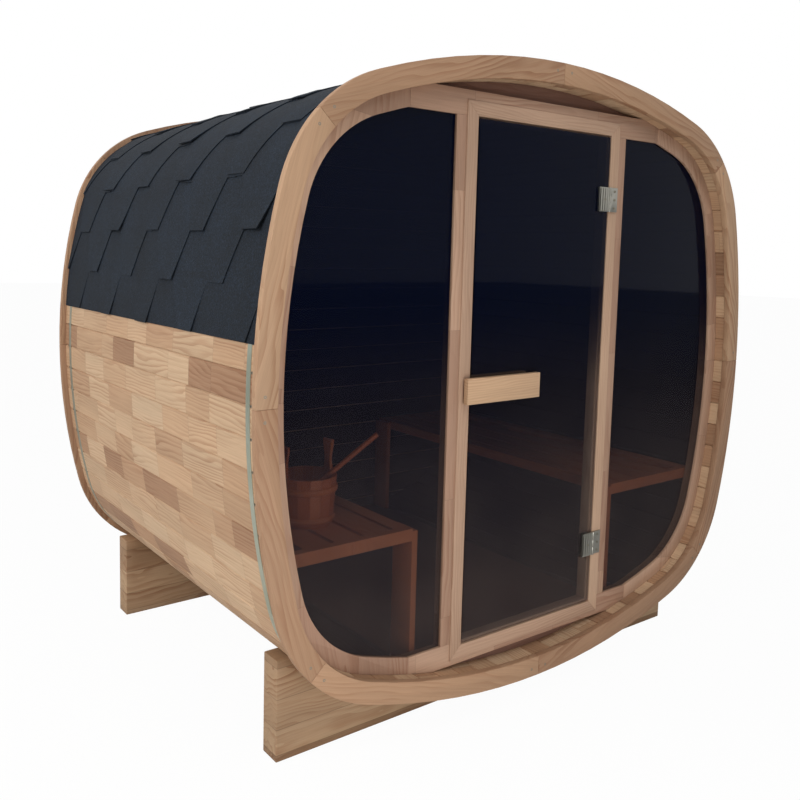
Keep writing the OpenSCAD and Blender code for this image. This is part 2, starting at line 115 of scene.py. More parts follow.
sky = bpy.data.worlds.new("studio")
scene.world = sky
sky.use_nodes = True
sky.node_tree.nodes.clear()
rays = add(sky, "ShaderNodeLightPath")
seen = add(sky, "ShaderNodeMath", {0: rays.outputs["Is Camera Ray"], 1: rays.outputs["Is Glossy Ray"]},
           operation="MAXIMUM")
seen = add(sky, "ShaderNodeMath", {0: seen.outputs[0], 1: rays.outputs["Is Transmission Ray"]},
           operation="MAXIMUM")
glow = add(sky, "ShaderNodeBackground", {"Color": linear("#eef1f5"), "Strength": 0.44})
white = add(sky, "ShaderNodeBackground", {"Color": (1, 1, 1, 1), "Strength": 1.0})
both = add(sky, "ShaderNodeMixShader", {0: seen.outputs[0], 1: glow.outputs[0], 2: white.outputs[0]})
add(sky, "ShaderNodeOutputWorld", {"Surface": both.outputs[0]})

# Each lamp's name, place, size in metres and power in watts; all face the cabin's middle
for lamp_name, place, size, power in (
        ("key", (-4.8, -0.4, 3.2), 2.6, 130),
        ("front_low", (-0.9, -2.6, 0.35), 1.2, 20),
        ("front_high", (-0.6, -3.6, 5.2), 1.4, 55)):
    lamp = bpy.data.objects.new(lamp_name, bpy.data.lights.new(lamp_name, "AREA"))
    scene.collection.objects.link(lamp)
    lamp.data.size = size
    lamp.data.energy = power
    lamp.location = place
    lamp.rotation_euler = (Vector((0, 0, 0.9)) - Vector(place)).to_track_quat("-Z", "Y").to_euler()

paper, paper_out = new_material("pale_studio_floor")
rays = add(paper, "ShaderNodeLightPath")
seen = add(paper, "ShaderNodeMath", {0: rays.outputs["Is Camera Ray"], 1: 0.965}, operation="MULTIPLY")
matt = add(paper, "ShaderNodeBsdfDiffuse", {"Color": linear("#f0f0ee")})
bright = add(paper, "ShaderNodeEmission", {"Color": (1, 1, 1, 1), "Strength": 1.0})
both = add(paper, "ShaderNodeMixShader", {0: seen.outputs[0], 1: matt.outputs[0], 2: bright.outputs[0]})
paper.node_tree.links.new(both.outputs[0], paper_out.inputs["Surface"])
bpy.ops.mesh.primitive_plane_add(size=60, location=(0, 0, 0))
floor_sheet = bpy.context.object
floor_sheet.name = "studio_floor"
floor_sheet.data.materials.append(paper)
floor_sheet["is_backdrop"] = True

# ---- Staves of the barrel ----
# Planed softwood staves, 42 mm thick and about 83 mm wide, run from ring to
# ring. Each is finger-jointed from short blocks and has both outer arrises
# taken off, so that every joint shows as a small groove.
mid_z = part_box("front_ring_left_upper")[0].z
half_w = -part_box("front_ring_left_upper")[0].x
half_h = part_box("front_ring_top_left")[1].z - mid_z
front_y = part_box("front_ring_top_left")[0].y
ring_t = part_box("front_ring_top_left")[1].y - front_y
# The ring's outline: a slow bow on each side and a tight corner between, with
# the staves' outer face shell_out inside it
bow_r, corner_r, shell_out = 2.25, 0.44, 0.020
stave_t, stave_w = 0.042, 0.083
stave_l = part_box("shell_left")[1].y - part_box("shell_left")[0].y

side_centre = Vector((half_w - bow_r, 0))
top_centre = Vector((0, half_h - bow_r))
between = top_centre - side_centre
rise = math.sqrt((bow_r - corner_r) ** 2 - between.length_squared / 4)
corner_centre = (side_centre + top_centre) / 2 + rise * Vector((-between.y, between.x)).normalized()
side_end = math.atan2(corner_centre.y, corner_centre.x - side_centre.x)
top_end = math.atan2(corner_centre.y - top_centre.y, corner_centre.x)
side_arc = (bow_r - shell_out) * side_end
corner_arc = (corner_r - shell_out) * (top_end - side_end)
quarter = side_arc + corner_arc + (bow_r - shell_out) * (math.pi / 2 - top_end)


def on_shell(arc, inset):
    """Point across and up at a distance along the shell, upwards from the right side's middle."""
    part, rest = divmod(arc, quarter)
    if part % 2:
        rest = quarter - rest
    if rest < side_arc:
        centre, radius, turn = side_centre, bow_r, rest / (bow_r - shell_out)
    elif rest < side_arc + corner_arc:
        centre, radius = corner_centre, corner_r
        turn = side_end + (rest - side_arc) / (corner_r - shell_out)
    else:
        centre, radius = top_centre, bow_r
        turn = top_end + (rest - side_arc - corner_arc) / (bow_r - shell_out)
    point = centre + (radius - inset) * Vector((math.cos(turn), math.sin(turn)))
    return (-point.x if part % 4 in (1, 2) else point.x), (-point.y if part % 4 in (2, 3) else point.y)


def wrap(piece):
    """Lays on the barrel a piece made flat: x runs along the shell, z is its height off the staves."""
    for vertex in piece.data.vertices:
        x, z = on_shell(vertex.co.x, shell_out - vertex.co.z)
        vertex.co = (x, vertex.co.y, mid_z + z)


def only(piece):
    """Selects one piece and makes it active."""
    bpy.ops.object.select_all(action="DESELECT")
    piece.select_set(True)
    bpy.context.view_layer.objects.active = piece


def pick(piece, kind, test):
    """Enters edit mode with the edges or faces picked whose middle and direction pass the test."""
    only(piece)
    bpy.ops.object.mode_set(mode="EDIT")
    bpy.ops.mesh.select_mode(type=kind)
    bpy.ops.mesh.select_all(action="DESELECT")
    bpy.ops.object.mode_set(mode="OBJECT")
    points = piece.data.vertices
    if kind == "EDGE":
        for e in piece.data.edges:
            a, b = points[e.vertices[0]].co, points[e.vertices[1]].co
            e.select = test((a + b) / 2, (b - a).normalized())
    else:
        for f in piece.data.polygons:
            f.select = test(f.center, f.normal)
    bpy.ops.object.mode_set(mode="EDIT")


def done(piece):
    """Leaves edit mode."""
    bpy.ops.object.mode_set(mode="OBJECT")
    return piece


def block(name, size, centre=(0, 0, 0)):
    """A cube primitive at its size and place, with its scale and place in the mesh."""
    bpy.ops.object.select_all(action="DESELECT")
    bpy.ops.mesh.primitive_cube_add(size=1, location=centre)
    piece = bpy.context.object
    piece.name = name
    piece.scale = size
    bpy.ops.object.transform_apply(location=True, rotation=True, scale=True)
    return piece


def copied(piece, name, matrix):
    """A copy with its own mesh, moved by a matrix that goes into the mesh."""
    other = piece.copy()
    other.data = piece.data.copy()
    other.name = name
    scene.collection.objects.link(other)
    other.data.transform(matrix)
    return other


def joined(pieces, name):
    """Joins pieces into one."""
    bpy.ops.object.select_all(action="DESELECT")
    for piece in pieces:
        piece.select_set(True)
    bpy.context.view_layer.objects.active = pieces[0]
    if len(pieces) > 1:
        bpy.ops.object.join()
    pieces[0].name = name
    return pieces[0]


def mark_grain(piece, along, across):
    """Stores where each point lies along and across the grain, moved so that no two boards match."""
    along = Vector(along).normalized()
    across = Vector(across) - along * along.dot(Vector(across))
    across.normalize()
    thick = along.cross(across)
    move = (chance.uniform(0, 50), chance.uniform(0, 50), chance.uniform(0, 50))
    for name, kind in (("grain", "FLOAT_VECTOR"), ("board", "FLOAT")):
        if name not in piece.data.attributes:
            piece.data.attributes.new(name, kind, "POINT")
    layer, tone = piece.data.attributes["grain"], piece.data.attributes["board"]
    own = chance.random()
    for i, v in enumerate(piece.data.vertices):
        layer.data[i].vector = (
            v.co.dot(along) + move[0], v.co.dot(across) + move[1], v.co.dot(thick) + move[2])
        tone.data[i].value = own
    return piece


def timber(name, tones, block_l=0.0, strip_w=0.0, ring_mm=9.0, figure=0.3, rough=0.6, painted_inner_shade=False):
    """Planed timber in mixed tones: glued blocks or strips, growth rings, fibres and dull patches.

    block_l and strip_w are in metres, ring_mm is the spacing of the growth rings. The last argument paints
    shade on the inner faces inside the cabin.
    """
    material, out = new_material(name)
    grain = add(material, "ShaderNodeAttribute", attribute_name="grain")
    board = add(material, "ShaderNodeAttribute", attribute_name="board")
    parts = add(material, "ShaderNodeSeparateXYZ", {0: grain.outputs["Vector"]})
    own = board.outputs["Fac"]
    at = grain.outputs["Vector"]
    tone_at = own
    seam = None
    if strip_w:
        # Strips glued edge to edge, each with its own tone
        strip = {"W": parts.outputs[1], "Scale": 1 / strip_w, "Randomness": 0.5}
        row = add(material, "ShaderNodeTexVoronoi", strip, voronoi_dimensions="1D")
        edge = add(material, "ShaderNodeTexVoronoi", strip,
                   voronoi_dimensions="1D", feature="DISTANCE_TO_EDGE")
        seam = add(material, "ShaderNodeMapRange", {0: edge.outputs["Distance"], 1: 0.0, 2: 0.0016 / strip_w,
                                                    3: 0.62, 4: 1.0}).outputs[0]
        pick_tone = add(material, "ShaderNodeSeparateColor", {0: row.outputs["Color"]})
        own = tone_at = pick_tone.outputs[0]
        at = add(material, "ShaderNodeVectorMath", {0: row.outputs["Color"], 1: (7.0, 3.0, 5.0), 2: at},
                 operation="MULTIPLY_ADD").outputs[0]
    if block_l:
        # Blocks of uneven length, glued end to end along the board
        place = add(material, "ShaderNodeMath", {0: own, 1: 900.0, 2: parts.outputs[0]},
                    operation="MULTIPLY_ADD")
        piece = {"W": place.outputs[0], "Scale": 1 / block_l}
        cells = add(material, "ShaderNodeTexVoronoi", piece, voronoi_dimensions="1D")
        edge = add(material, "ShaderNodeTexVoronoi", piece,
                   voronoi_dimensions="1D", feature="DISTANCE_TO_EDGE")
        crack = add(material, "ShaderNodeMapRange", {0: edge.outputs["Distance"], 1: 0.0, 2: 0.0012 / block_l,
                                                     3: 0.72, 4: 1.0}).outputs[0]
        seam = crack if seam is None else add(material, "ShaderNodeMath", {0: seam, 1: crack},
                                              operation="MULTIPLY").outputs[0]
        cell = add(material, "ShaderNodeSeparateColor", {0: cells.outputs["Color"]})
        # A block's tone comes more from itself than from the board that it is in
        tone_at = add(material, "ShaderNodeMath", {0: own, 1: 0.42}, operation="MULTIPLY").outputs[0]
        tone_at = add(material, "ShaderNodeMath", {0: cell.outputs[0], 1: 0.58, 2: tone_at},
                      operation="MULTIPLY_ADD").outputs[0]
        at = add(material, "ShaderNodeVectorMath", {0: cells.outputs["Color"], 1: (7.0, 3.0, 5.0), 2: at},
                 operation="MULTIPLY_ADD").outputs[0]
    # Growth rings: long wavy bands across the board, plain in some places and strong in others
    wander = add(material, "ShaderNodeVectorMath", {0: at, 1: (1.4, 7.0, 7.0)}, operation="MULTIPLY")
    drift = add(material, "ShaderNodeTexNoise", {"Vector": wander.outputs[0], "Scale": 1.0, "Detail": 3.0,
                                                  "Roughness": 0.5})
    line = add(material, "ShaderNodeSeparateXYZ", {0: at})
    phase = add(material, "ShaderNodeMath", {0: line.outputs[1], 1: 1000 / ring_mm}, operation="MULTIPLY")
    bent = add(material, "ShaderNodeMath", {0: drift.outputs["Fac"], 1: 11.0, 2: phase.outputs[0]},
               operation="MULTIPLY_ADD")
    turn = add(material, "ShaderNodeMath", {0: bent.outputs[0], 1: 1.0}, operation="FRACT")
    late = add(material, "ShaderNodeMapRange", {0: turn.outputs[0], 1: 0.25, 2: 1.0, 3: 0.0, 4: 1.0},
               interpolation_type="SMOOTHERSTEP")
    cloud = add(material, "ShaderNodeVectorMath", {0: at, 1: (2.2, 12.0, 12.0)}, operation="MULTIPLY")
    patch = add(material, "ShaderNodeTexNoise", {"Vector": cloud.outputs[0], "Scale": 1.0, "Detail": 3.0})
    strong = add(material, "ShaderNodeMapRange", {0: patch.outputs["Fac"], 1: 0.38, 2: 0.66,
                                                  3: 0.15 * figure, 4: 1.35 * figure})
    amount = add(material, "ShaderNodeMath", {0: late.outputs[0], 1: strong.outputs[0]}, operation="MULTIPLY")
    # Fibres: fine streaks, drawn about 2 mm apart so that they show
    thread = add(material, "ShaderNodeVectorMath", {0: at, 1: (7.0, 300.0, 300.0)}, operation="MULTIPLY")
    fibre = add(material, "ShaderNodeTexNoise", {"Vector": thread.outputs[0], "Scale": 1.0, "Detail": 4.0,
                                                  "Roughness": 0.65})
    ramp = add(material, "ShaderNodeValToRGB", {0: tone_at})
    ramp.color_ramp.elements[0].color = linear(tones[0])
    ramp.color_ramp.elements[1].color = linear(tones[-1])
    for i, tone in enumerate(tones[1:-1]):
        ramp.color_ramp.elements.new((i + 1) / (len(tones) - 1)).color = linear(tone)
    deep = add(material, "ShaderNodeMix", {"Factor": 1.0, "A": ramp.outputs["Color"], "B": linear("#c4a088")},
               data_type="RGBA", blend_type="MULTIPLY")
    colour = add(material, "ShaderNodeMix", {"Factor": amount.outputs[0], "A": ramp.outputs["Color"],
                                             "B": deep.outputs["Result"]}, data_type="RGBA")
    shade = add(material, "ShaderNodeMapRange", {0: fibre.outputs["Fac"], 1: 0.3, 2: 0.7, 3: 0.9, 4: 1.06})
    blot = add(material, "ShaderNodeMapRange", {0: drift.outputs["Fac"], 1: 0.3, 2: 0.7, 3: 0.88, 4: 1.08})
    value = add(material, "ShaderNodeMath", {0: shade.outputs[0], 1: blot.outputs[0]}, operation="MULTIPLY")
    if seam:
        value = add(material, "ShaderNodeMath", {0: value.outputs[0], 1: seam}, operation="MULTIPLY")
    lit = add(material, "ShaderNodeVectorMath", {0: colour.outputs["Result"], "Scale": value.outputs[0]},
              operation="SCALE").outputs[0]
    if painted_inner_shade:
        # Painted shade: the inner faces between the two end walls are darkened to near black, where little
        # light reaches inside
        where = add(material, "ShaderNodeTexCoord")
        deep_in = add(material, "ShaderNodeSeparateXYZ", {0: where.outputs["Object"]})
        depth = add(material, "ShaderNodeMath", {0: deep_in.outputs[1]}, operation="ABSOLUTE")
        within = add(material, "ShaderNodeMath", {0: depth.outputs[0], 1: wall_inside}, operation="LESS_THAN")
        inner = add(material, "ShaderNodeAttribute", attribute_name="inner")
        both = add(material, "ShaderNodeMath", {0: within.outputs[0], 1: inner.outputs["Fac"]},
                   operation="MULTIPLY")
        lit = add(material, "ShaderNodeMix", {"Factor": both.outputs[0], "A": lit, "B": linear("#20150f")},
                  data_type="RGBA").outputs["Result"]
    gloss = add(material, "ShaderNodeMapRange", {0: fibre.outputs["Fac"], 1: 0.2, 2: 0.8,
                                                 3: rough + 0.1, 4: rough - 0.08})
    height = add(material, "ShaderNodeMath", {0: late.outputs[0], 1: 0.2, 2: fibre.outputs["Fac"]},
                 operation="MULTIPLY_ADD")
    relief = add(material, "ShaderNodeBump", {
        "Height": height.outputs[0], "Strength": 0.3, "Distance": 0.0005})
    shader = add(material, "ShaderNodeBsdfPrincipled", {
        "Base Color": lit, "Roughness": gloss.outputs[0], "Normal": relief.outputs[0], "IOR": 1.5})
    shader.inputs["Specular IOR Level"].default_value = 0.3
    material.node_tree.links.new(shader.outputs[0], out.inputs["Surface"])
    return material


# Softwood heartwood and sapwood glued at random: cream, tan, rose and brown
# blocks about 210 mm long
wall_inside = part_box("rear_wall")[0].y + 0.002
# The staves' inner faces inside the cabin carry painted shade, darkened towards black
stave_timber = timber("finger_jointed_softwood_staves",
                      ["#d3b797", "#c7a786", "#bb9776", "#ccad8c", "#b08a6a", "#a27d60", "#906f55"],
                      block_l=0.21, ring_mm=14, figure=0.4, painted_inner_shade=True)

# Each stave has a wide groove arris on its upper edge and a fine one on its
# lower, and is cut in three across so that it can follow the barrel
wide_arris, fine_arris, inner_depth = 0.0048, 0.0022, 0.006
panel_side = side_arc + corner_arc / 2
panel_top = quarter - panel_side
for panel, middle, half in (("right", 0.0, panel_side), ("top", quarter, panel_top),
                            ("left", 2 * quarter, panel_side), ("bottom", 3 * quarter, panel_top)):
    count = round(2 * half / stave_w)
    width = 2 * half / count
    stave = block("stave", (width, stave_l, stave_t), (0, 0, -stave_t / 2))
    upper = -1 if panel == "left" else 1
    pick(stave, "EDGE", lambda m, d: abs(d.y) > 0.9 and upper * m.x > 0)
    bpy.ops.mesh.bevel(offset=wide_arris, segments=1)
    done(stave)
    pick(stave, "EDGE", lambda m, d: abs(d.y) > 0.9 and upper * m.x < 0)
    bpy.ops.mesh.bevel(offset=fine_arris, segments=1)
    for x in (-width / 6, width / 6):
        bpy.ops.mesh.select_all(action="SELECT")
        bpy.ops.mesh.bisect(plane_co=(x, 0, 0), plane_no=(1, 0, 0))
    done(stave)
    staves = []
    for i in range(count):
        place = middle - half + width * (i + 0.5)
        one = copied(stave, f"{panel}_stave_{i}", Matrix.Translation((place + 4 * quarter, 0, 0)))
        mark_grain(one, (0, 1, 0), (1, 0, 0))
        # Marks the inner faces, which get the painted shade
        inner = one.data.attributes.new("inner", "FLOAT", "POINT")
        inner.data.foreach_set(
            "value", [float(v.co.z < -stave_t + inner_depth) for v in one.data.vertices])
        staves.append(one)
    bpy.data.objects.remove(stave)
    staves = joined(staves, f"staves_{panel}")
    wrap(staves)
    only(staves)
    bpy.ops.object.shade_smooth_by_angle(angle=math.radians(28))
    staves.data.materials.append(stave_timber)
    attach(staves, "cabin")
    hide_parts(f"shell_{panel}")

# ---- End rings ----
# Eight curved boards to a ring, sawn from planed plank with eased edges and
# butted end to end, with a countersunk screw on each side of every joint.
ring_timber = timber("planed_ring_boards", ["#b08b6c", "#a07c60", "#ba9676"], ring_mm=22, figure=0.42)


def eased(node, name, width, along, across, segments=2):
    """A copy of a CAD node with its triangles merged to whole faces and its edges eased."""
    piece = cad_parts[node].copy()
    piece.data = piece.data.copy()
    piece.parent = None
    for key in list(piece.keys()):
        del piece[key]
    piece.name = name
    scene.collection.objects.link(piece)
    piece.data.materials.clear()
    only(piece)
    bpy.ops.object.mode_set(mode="EDIT")
    bpy.ops.mesh.select_all(action="SELECT")
    bpy.ops.mesh.remove_doubles(threshold=0.00005)
    bpy.ops.mesh.dissolve_limited(angle_limit=math.radians(0.5))
    bpy.ops.object.mode_set(mode="OBJECT")
    bpy.ops.mesh.customdata_custom_splitnormals_clear()
    if width:
        bevel = piece.modifiers.new("eased_edges", "BEVEL")
        bevel.width = width
        bevel.segments = segments
        bevel.limit_method = "ANGLE"
        bevel.angle_limit = math.radians(30)
        bpy.ops.object.modifier_apply(modifier=bevel.name)
    bpy.ops.object.shade_smooth_by_angle(angle=math.radians(25))
    if along:
        mark_grain(piece, along, across)
    return piece


def place_piece(piece, material, slot, body, *nodes):
    """Gives a finished piece its material, body and the CAD nodes it stands for; slot is not used."""
    piece.data.materials.clear()
    piece.data.materials.append(material)
    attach(piece, body)
    if nodes:
        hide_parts(*nodes)
    return piece


for node in ("top_left", "top_right", "left_upper", "right_upper",
             "left_lower", "right_lower", "bottom_left", "bottom_right"):
    low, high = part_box(f"front_ring_{node}")
    x = -1 if low.x + high.x < 0 else 1
    z = -1 if low.z + high.z < 2 * mid_z else 1
    # Straight grain runs from one end of the board to the other
    along = (-(high.x - low.x) * x * z, 0, high.z - low.z)
    board = eased(f"front_ring_{node}", f"front_ring_board_{node}", 0.002, along, (1, 0, 1))
    place_piece(board, ring_timber, "ring_board_timber", "cabin", f"front_ring_{node}")

for node in ("first", "second"):
    board = eased(f"rear_ring_{node}_boards", f"rear_ring_boards_{node}", 0.002, (0, 0, 1), (1, 0, 0))
    place_piece(board, ring_timber, "ring_board_timber", "cabin", f"rear_ring_{node}_boards")

# Zinc-plated screws with dull, slightly uneven heads, 8 mm across with a
# shallow recess, standing about 0.2 mm proud
screw_zinc, out = new_material("zinc_plated_screw")
where = add(screw_zinc, "ShaderNodeTexCoord")
cloud = add(screw_zinc, "ShaderNodeTexNoise", {
    "Vector": where.outputs["Object"], "Scale": 900.0, "Detail": 2.0})
dull = add(screw_zinc, "ShaderNodeMapRange", {0: cloud.outputs["Fac"], 3: 0.3, 4: 0.55})
shader = add(screw_zinc, "ShaderNodeBsdfPrincipled", {
    "Base Color": linear("#8a8578"), "Metallic": 1.0, "Roughness": dull.outputs[0]})
screw_zinc.node_tree.links.new(shader.outputs[0], out.inputs["Surface"])

head_r, head_t, recess_rim, recess_d = 0.0042, 0.0012, 0.0022, 0.0007
bpy.ops.object.select_all(action="DESELECT")
bpy.ops.mesh.primitive_cylinder_add(vertices=16, radius=head_r, depth=head_t)
screw = bpy.context.object
screw.name = "screw_head"
pick(screw, "FACE", lambda m, n: n.z > 0.9)
bpy.ops.mesh.inset(thickness=recess_rim)
bpy.ops.mesh.extrude_region_move(TRANSFORM_OT_translate={"value": (0, 0, -recess_d)})
done(screw)


def screws(name, heads, body, slot):
    """Copies of the screw head at the given places, each facing the way that it is given."""
    parts = []
    for i, (point, facing) in enumerate(heads):
        turn = Vector(facing).to_track_quat("Z", "Y").to_matrix().to_4x4()
        parts.append(copied(screw, f"{name}_{i}", Matrix.Translation(point) @ turn))
    return place_piece(joined(parts, name), screw_zinc, slot, body)


heads = []
from_joint, from_edge, head_sunk = 0.032, 0.026, 0.0004
joints = [0, panel_side, quarter, 2 * quarter - panel_side]
for y, facing in ((front_y, -1), (-front_y, 1)):
    for joint in joints + [j + 2 * quarter for j in joints]:
        for step in (-from_joint, from_joint):
            x, z = on_shell((joint + step) % (4 * quarter), from_edge)
            heads.append(((x, y - head_sunk * facing, mid_z + z), (0, facing, 0)))
screws("ring_screws", heads, "cabin", "strap_steel")

# ---- Steel straps ----
# Thin stainless bands, tightened round the staves just inside each ring.
# Brushed along their length, with a faint greenish weather stain. Small
# screws at the stave joints stand beside them on both sides of the barrel.
strap_steel, out = new_material("brushed_stainless_strip")
grain = add(strap_steel, "ShaderNodeTexCoord")
long_way = add(strap_steel, "ShaderNodeVectorMath", {0: grain.outputs["Object"], 1: (3.0, 900.0, 3.0)},
               operation="MULTIPLY")
scratch = add(strap_steel, "ShaderNodeTexNoise", {
    "Vector": long_way.outputs[0], "Scale": 1.0, "Detail": 3.0})
dull = add(strap_steel, "ShaderNodeMapRange", {0: scratch.outputs["Fac"], 3: 0.24, 4: 0.46})
stain = add(strap_steel, "ShaderNodeTexNoise", {
    "Vector": grain.outputs["Object"], "Scale": 9.0, "Detail": 4.0})
cast = add(strap_steel, "ShaderNodeMix", {"Factor": stain.outputs["Fac"], "A": linear("#c6cabc"),
                                          "B": linear("#9aa18c")}, data_type="RGBA")
shader = add(strap_steel, "ShaderNodeBsdfPrincipled", {
    "Base Color": cast.outputs["Result"], "Metallic": 1.0, "Roughness": dull.outputs[0]})
strap_steel.node_tree.links.new(shader.outputs[0], out.inputs["Surface"])

strap_t, steps, from_strap = 0.001, 240, 0.007
stave_pitch = 2 * panel_side / round(2 * panel_side / stave_w)
for end in ("front", "rear"):
    low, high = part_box(f"{end}_strap")
    strap = block(f"{end}_band", (4 * quarter, high.y - low.y, strap_t),
                  (6 * quarter, (low.y + high.y) / 2, strap_t / 2))
    only(strap)
    bpy.ops.object.mode_set(mode="EDIT")
    for i in range(1, steps):
        bpy.ops.mesh.select_all(action="SELECT")
        bpy.ops.mesh.bisect(plane_co=(4 * quarter * (1 + i / steps), 0, 0), plane_no=(1, 0, 0))
    done(strap)
    wrap(strap)
    only(strap)
    bpy.ops.object.mode_set(mode="EDIT")
    bpy.ops.mesh.select_all(action="SELECT")
    bpy.ops.mesh.remove_doubles(threshold=0.0002)
    bpy.ops.object.mode_set(mode="OBJECT")
    bpy.ops.object.shade_smooth_by_angle(angle=math.radians(30))
    place_piece(strap, strap_steel, "strap_steel", "cabin", f"{end}_strap")
    heads = []
    beside = low.y - from_strap if end == "front" else high.y + from_strap
    for k in range(-4, 5):
        for middle in (0, 2 * quarter):
            x, z = on_shell((middle + k * stave_pitch) % (4 * quarter), shell_out)
            heads.append(((x, beside, mid_z + z), (1 if x > 0 else -1, 0, 0)))
    screws(f"{end}_strap_screws", heads, "cabin", "strap_steel")

# ---- Shingle covering ----
# Hexagonal bitumen shingles with slate-blue granules, nailed in courses from
# the sides up to the ridge. Each tab is 93 mm wide at its foot and 233 mm at
# its shoulders; some tabs have lifted at the foot.
shingle_felt, out = new_material("granulated_bitumen_shingle")
where = add(shingle_felt, "ShaderNodeTexCoord")
# Crushed slate grit, 1 to 2 mm, drawn at 3 mm so that it shows
grit = add(shingle_felt, "ShaderNodeTexVoronoi", {"Vector": where.outputs["Object"], "Scale": 330.0})
grit_tone = add(shingle_felt, "ShaderNodeSeparateColor", {0: grit.outputs["Color"]})
fleck = add(shingle_felt, "ShaderNodeValToRGB", {0: grit_tone.outputs[0]})
fleck.color_ramp.elements[0].color = linear("#080d13")
fleck.color_ramp.elements[1].color = linear("#1d2836")
fleck.color_ramp.elements.new(0.6).color = linear("#101923")
mottle = add(shingle_felt, "ShaderNodeTexNoise", {"Vector": where.outputs["Object"], "Scale": 7.0,
                                                   "Detail": 5.0, "Roughness": 0.6})
wash = add(shingle_felt, "ShaderNodeMapRange", {
    0: mottle.outputs["Fac"], 1: 0.3, 2: 0.7, 3: 0.75, 4: 1.2})
tab_tone = add(shingle_felt, "ShaderNodeAttribute", attribute_name="board")
own = add(shingle_felt, "ShaderNodeMapRange", {0: tab_tone.outputs["Fac"], 3: 0.86, 4: 1.14})
both = add(shingle_felt, "ShaderNodeMath", {0: wash.outputs[0], 1: own.outputs[0]}, operation="MULTIPLY")
colour = add(shingle_felt, "ShaderNodeVectorMath", {0: fleck.outputs["Color"], "Scale": both.outputs[0]},
             operation="SCALE")
rise_of_grit = add(shingle_felt, "ShaderNodeMath", {0: grit.outputs["Distance"], 1: -1.0},
                   operation="MULTIPLY")
relief = add(shingle_felt, "ShaderNodeBump", {"Height": rise_of_grit.outputs[0], "Strength": 0.8,
                                              "Distance": 0.0015})
shader = add(shingle_felt, "ShaderNodeBsdfPrincipled", {
    "Base Color": colour.outputs[0], "Roughness": 0.88, "Normal": relief.outputs[0]})
shader.inputs["Specular IOR Level"].default_value = 0.3
shingle_felt.node_tree.links.new(shader.outputs[0], out.inputs["Surface"])

felt_t = 0.0035
tab_pitch, tab_foot, tab_shoulder, tab_h = 0.328, 0.093, 0.233, 0.150
# Above its shoulders a shingle runs on under the next courses, in five strips
tail_step, tail_steps = 0.033, 5
bpy.ops.object.select_all(action="DESELECT")
bpy.ops.mesh.primitive_grid_add(x_subdivisions=6, y_subdivisions=10, size=1, location=(0, 0, 0))
tab = bpy.context.object
tab.name = "shingle_tab"
# x runs up the roof from the tab's foot, y runs along the cabin
for v in tab.data.vertices:
    up_tab = v.co.x + 0.5
    v.co.x = up_tab * tab_h
    v.co.y *= tab_foot + (tab_shoulder - tab_foot) * up_tab
pick(tab, "EDGE", lambda m, d: m.x > tab_h - 0.0001 and abs(d.y) > 0.9)
for i in range(tail_steps):
    bpy.ops.mesh.extrude_edges_move(TRANSFORM_OT_translate={"value": (tail_step, 0, 0)})
done(tab)
for side in (-1, 1):
    pick(tab, "EDGE", lambda m, d: m.x > tab_h and abs(d.x) > 0.9
         and side * m.y > tab_shoulder / 2 - 0.0001)
    bpy.ops.mesh.extrude_edges_move(
        TRANSFORM_OT_translate={"value": (0, side * (tab_pitch - tab_shoulder) / 2, 0)})
    done(tab)
# The foot lies on the course below, so it is higher than the tail
for v in tab.data.vertices:
    v.co.z = 0.007 - 0.003 * v.co.x / tab_h

# Where each course's feet lie, along the shell from the side's middle
eave = 0.156
course_feet = [eave, 0.298, 0.446, 0.598] + [0.750 + 0.150 * i for i in range(7)]
